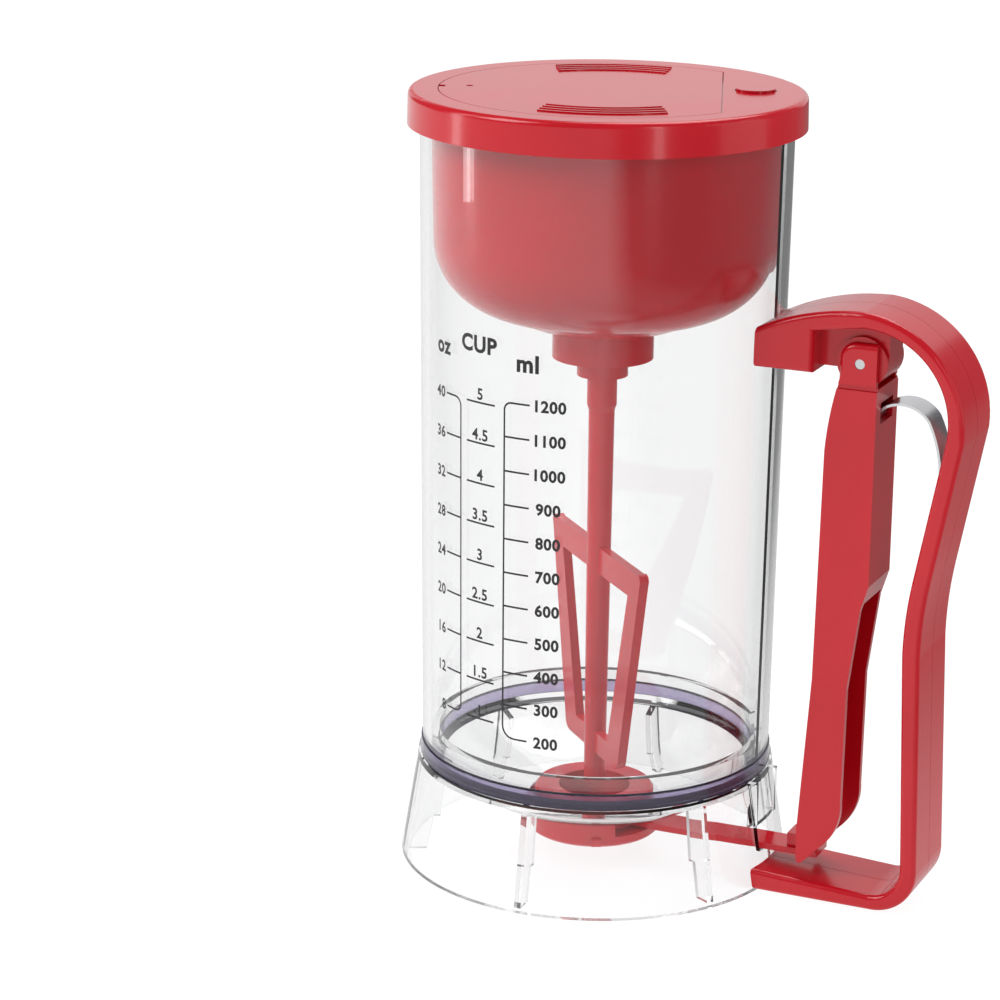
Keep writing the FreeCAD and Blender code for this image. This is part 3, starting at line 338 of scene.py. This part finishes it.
def corners(name, bends):
    """One print of quarter rings, each given as centre angle, centre height, radius and first angle."""
    bm = bmesh.new()
    steps = 12
    for turn, level, radius, first in bends:
        ring = []
        for i in range(steps + 1):
            a = math.radians(first + 90 * i / steps)
            for r in (radius + half, radius - half):
                across = math.degrees(r * math.cos(a) / print_radius)
                ring.append(bm.verts.new((turn + across, level + r * math.sin(a), 0)))
        for i in range(steps):
            bm.faces.new((ring[2 * i], ring[2 * i + 2], ring[2 * i + 3], ring[2 * i + 1]))
    mesh = bpy.data.meshes.new(name)
    bm.to_mesh(mesh)
    bm.free()
    return wrapped(name, mesh)


def words(name, labels, weight):
    """One print of short texts, each given as text, angle, base height, letter height and alignment."""
    bm = bmesh.new()
    for text, angle, level, height, align in labels:
        curve = bpy.data.curves.new(name, "FONT")
        curve.body = text
        curve.size = 1.0
        curve.offset = weight
        curve.align_x = align
        curve.resolution_u = 3
        curve.space_character = 1.08
        holder = bpy.data.objects.new(name, curve)
        bpy.context.scene.collection.objects.link(holder)
        bpy.context.view_layer.update()
        flat = holder.to_mesh()
        piece = bmesh.new()
        piece.from_mesh(flat)
        for vert in piece.verts:
            x, y = vert.co.x * height / 0.7, vert.co.y * height / 0.7
            vert.co = Vector((angle + math.degrees(x / print_radius), level + y, 0))
        shifted = bpy.data.meshes.new("shifted")
        piece.to_mesh(shifted)
        piece.free()
        bm.from_mesh(shifted)
        bpy.data.meshes.remove(shifted)
        holder.to_mesh_clear()
        bpy.data.objects.remove(holder)
        bpy.data.curves.remove(curve)
    mesh = bpy.data.meshes.new(name)
    bm.to_mesh(mesh)
    bm.free()
    return wrapped(name, mesh)


# Millilitre scale: an upright line with a tick for every hundred and numbers to its right.
# The top and bottom ticks turn into the line through round corners.
ml_level = [scale_level(200 + 100 * i) for i in range(11)]
strips = [(-98.5, -97.9, 0.0590, ml_level[10] - 0.0024)]
strips += [(-98.2, -89.6, z - half, z + half) for z in ml_level[1:10]]
strips += [(-94.2, -89.6, ml_level[0] - half, ml_level[0] + half)]
strips += [(-95.8, -89.6, ml_level[10] - half, ml_level[10] + half)]
bars("millilitre_ticks", strips)
corners("millilitre_corners", [(-94.1, 0.0590, 0.0041, 180), (-95.8, ml_level[10] - 0.0024, 0.0024, 90)])
words("millilitre_numbers", [(str(200 + 100 * i), -83.4, z - 0.0017, 0.0035, "CENTER")
                             for i, z in enumerate(ml_level)], 0.036)
words("millilitre_heading", [("ml", -90.4, 0.1728, 0.0052, "CENTER")], 0.036)

# Ounce scale: an upright line with ticks and numbers to its left.
# Eight ounces stand level with one cup.
oz_values = list(range(8, 41, 4))
oz_level = [scale_level(n * 29.5735) for n in oz_values]
bars("ounce_ticks", [(-116.3, -115.7, oz_level[0] + 0.0028, oz_level[-1] - 0.0028)]
     + [(-123.4, -116.0, z - half, z + half) for z in oz_level[1:-1]]
     + [(-123.4, -118.8, z - half, z + half) for z in (oz_level[0], oz_level[-1])])
corners("ounce_corners", [(-118.8, oz_level[0] + 0.0028, 0.0028, 270),
                          (-118.8, oz_level[-1] - 0.0028, 0.0028, 0)])
words("ounce_numbers", [(str(n), -124.4, z - 0.0017, 0.0034, "RIGHT")
                        for n, z in zip(oz_values, oz_level)], 0.026)
words("ounce_heading", [("oz", -125.2, 0.1731, 0.0052, "CENTER")], 0.034)

# Cup scale between the two lines: a short underline below each number.
# The marks go up by halves from one to five.
cup_values = [1 + 0.5 * i for i in range(9)]
cup_level = [scale_level(n * 236.588) for n in cup_values]
bars("cup_underlines", [(-113.2, -101.7, z - half, z + half) for z in cup_level])
words("cup_numbers", [("%g" % n, -107.5, z + 0.0010, 0.0035, "CENTER")
                      for n, z in zip(cup_values, cup_level)], 0.024)
words("cup_heading", [("CUP", -108.4, 0.1765, 0.0050, "CENTER")], 0.036)

# Plain pale floor under the part.
# It glows just enough to melt into the white surround. Its glow in reflections is a painted pool of light,
# bright on the left and dimmer on the right, painted as from a studio light on one side.
bm = bmesh.new()
bmesh.ops.create_grid(bm, x_segments=2, y_segments=2, size=3.0)
floor_mesh = bpy.data.meshes.new("floor")
bm.to_mesh(floor_mesh)
bm.free()
floor = bpy.data.objects.new("floor", floor_mesh)
bpy.context.scene.collection.objects.link(floor)
pale = bpy.data.materials.new("Pale floor")
pale.use_nodes = True
tree = pale.node_tree
bsdf = tree.nodes["Principled BSDF"]
coord = tree.nodes.new("ShaderNodeTexCoord")
tone = tree.nodes.new("ShaderNodeTexNoise")
tone.inputs["Scale"].default_value = 3.0
tree.links.new(coord.outputs["Object"], tone.inputs["Vector"])
shade = tree.nodes.new("ShaderNodeValToRGB")
shade.color_ramp.elements[0].color = (0.11, 0.11, 0.11, 1)
shade.color_ramp.elements[1].color = (0.13, 0.13, 0.13, 1)
tree.links.new(tone.outputs["Fac"], shade.inputs["Fac"])
tree.links.new(shade.outputs["Color"], bsdf.inputs["Base Color"])
bsdf.inputs["Roughness"].default_value = 0.9
bsdf.inputs["Emission Color"].default_value = (1, 1, 1, 1)
path = tree.nodes.new("ShaderNodeLightPath")
across = tree.nodes.new("ShaderNodeVectorMath")
across.operation = "DOT_PRODUCT"
across.inputs[1].default_value = (0.924, 0.383, 0)
tree.links.new(coord.outputs["Object"], across.inputs[0])
# Painted light: the glow that reflections see falls from bright on the left to dim on the right.
painted_light_falloff = tree.nodes.new("ShaderNodeMapRange")
painted_light_falloff.inputs["From Min"].default_value = 0.02
painted_light_falloff.inputs["From Max"].default_value = 0.28
painted_light_falloff.inputs["To Min"].default_value = 0.85
painted_light_falloff.inputs["To Max"].default_value = 0.10
tree.links.new(across.outputs["Value"], painted_light_falloff.inputs["Value"])
glow = tree.nodes.new("ShaderNodeMapRange")
glow.inputs["To Min"].default_value = 0.94
tree.links.new(path.outputs["Glossy Depth"], glow.inputs["Value"])
tree.links.new(painted_light_falloff.outputs["Result"], glow.inputs["To Max"])
tree.links.new(glow.outputs["Result"], bsdf.inputs["Emission Strength"])
floor_mesh.materials.append(pale)

# White surround: pure white to the camera and through the clear plastic.
# A softer grey lights the part, and its reflections see a darker studio.
world = bpy.data.worlds.new("Surround")
bpy.context.scene.world = world
world.use_nodes = True
tree = world.node_tree
tree.nodes.clear()
path = tree.nodes.new("ShaderNodeLightPath")
seen = tree.nodes.new("ShaderNodeMath")
seen.operation = "MAXIMUM"
tree.links.new(path.outputs["Is Camera Ray"], seen.inputs[0])
tree.links.new(path.outputs["Is Transmission Ray"], seen.inputs[1])
bounced = tree.nodes.new("ShaderNodeMath")
bounced.operation = "ADD"
tree.links.new(path.outputs["Glossy Depth"], bounced.inputs[0])
tree.links.new(path.outputs["Diffuse Depth"], bounced.inputs[1])
straight = tree.nodes.new("ShaderNodeMath")
straight.operation = "LESS_THAN"
straight.inputs[1].default_value = 0.5
tree.links.new(bounced.outputs["Value"], straight.inputs[0])
open_view = tree.nodes.new("ShaderNodeMath")
open_view.operation = "MULTIPLY"
tree.links.new(seen.outputs["Value"], open_view.inputs[0])
tree.links.new(straight.outputs["Value"], open_view.inputs[1])
soft = tree.nodes.new("ShaderNodeBackground")
soft.inputs["Color"].default_value = (0.92, 0.94, 1.0, 1)
dim = tree.nodes.new("ShaderNodeMapRange")
dim.inputs["To Min"].default_value = 0.55
dim.inputs["To Max"].default_value = 0.15
tree.links.new(path.outputs["Glossy Depth"], dim.inputs["Value"])
tree.links.new(dim.outputs["Result"], soft.inputs["Strength"])
white = tree.nodes.new("ShaderNodeBackground")
white.inputs["Color"].default_value = (1, 1, 1, 1)
white.inputs["Strength"].default_value = 1.0
mix = tree.nodes.new("ShaderNodeMixShader")
out = tree.nodes.new("ShaderNodeOutputWorld")
tree.links.new(open_view.outputs["Value"], mix.inputs["Fac"])
tree.links.new(soft.outputs["Background"], mix.inputs[1])
tree.links.new(white.outputs["Background"], mix.inputs[2])
tree.links.new(mix.outputs["Shader"], out.inputs["Surface"])

# Studio lights: a broad one high on the left, tall strips at both sides, one overhead and
# two large dim panels behind. The panels give the lid's top and the handle's back their sheen.
for name, spot, width, height, power in (
        ("key_light", (-0.75, -0.75, 1.05), 0.6, 0.8, 8.0),
        ("left_strip", (-0.95, -0.35, 0.35), 0.12, 1.2, 1.8),
        ("right_strip", (1.05, -0.85, 0.45), 0.14, 1.2, 2.0),
        ("top_light", (0.1, 0.6, 1.3), 0.9, 0.8, 8.0),
        ("back_panel", (-0.45, 1.35, 0.55), 2.0, 0.9, 3.6),
        ("right_panel", (1.30, 0.35, 0.40), 0.9, 1.0, 2.0)):
    lamp = bpy.data.lights.new(name, "AREA")
    lamp.shape = "RECTANGLE"
    lamp.size = width
    lamp.size_y = height
    lamp.energy = power
    light = bpy.data.objects.new(name, lamp)
    bpy.context.scene.collection.objects.link(light)
    light.location = spot
    aim = Vector((0.02, 0, 0.12)) - Vector(spot)
    light.rotation_euler = aim.to_track_quat("-Z", "Y").to_euler()
    light.visible_camera = False

# Camera where the photograph was taken from: a long lens a metre away, looking a little down.
# The part's handle points to the right and slightly towards the camera.
lens = bpy.data.cameras.new("camera")
lens.sensor_width = 36.0
lens.lens = 118.53
camera = bpy.data.objects.new("camera", lens)
bpy.context.scene.collection.objects.link(camera)
yaw, pitch, roll, turn = -0.0316, 0.2852, 0.011, math.radians(22.5)
ahead = Vector((math.sin(yaw) * math.cos(pitch), math.cos(yaw) * math.cos(pitch), -math.sin(pitch)))
side = Vector((math.cos(yaw), -math.sin(yaw), 0))
over = side.cross(ahead)
right = math.cos(roll) * side + math.sin(roll) * over
above = -math.sin(roll) * side + math.cos(roll) * over
swing = Matrix(((math.cos(turn), -math.sin(turn), 0), (math.sin(turn), math.cos(turn), 0), (0, 0, 1)))
right, above, ahead = swing @ right, swing @ above, swing @ ahead
pose = Matrix((right, above, -ahead)).transposed().to_4x4()
pose.translation = Vector((0.38605, -0.93202, 0.41323))
camera.matrix_world = pose
bpy.context.scene.camera = camera

bpy.context.scene.view_settings.view_transform = "Standard"

bpy.context.view_layer.update()
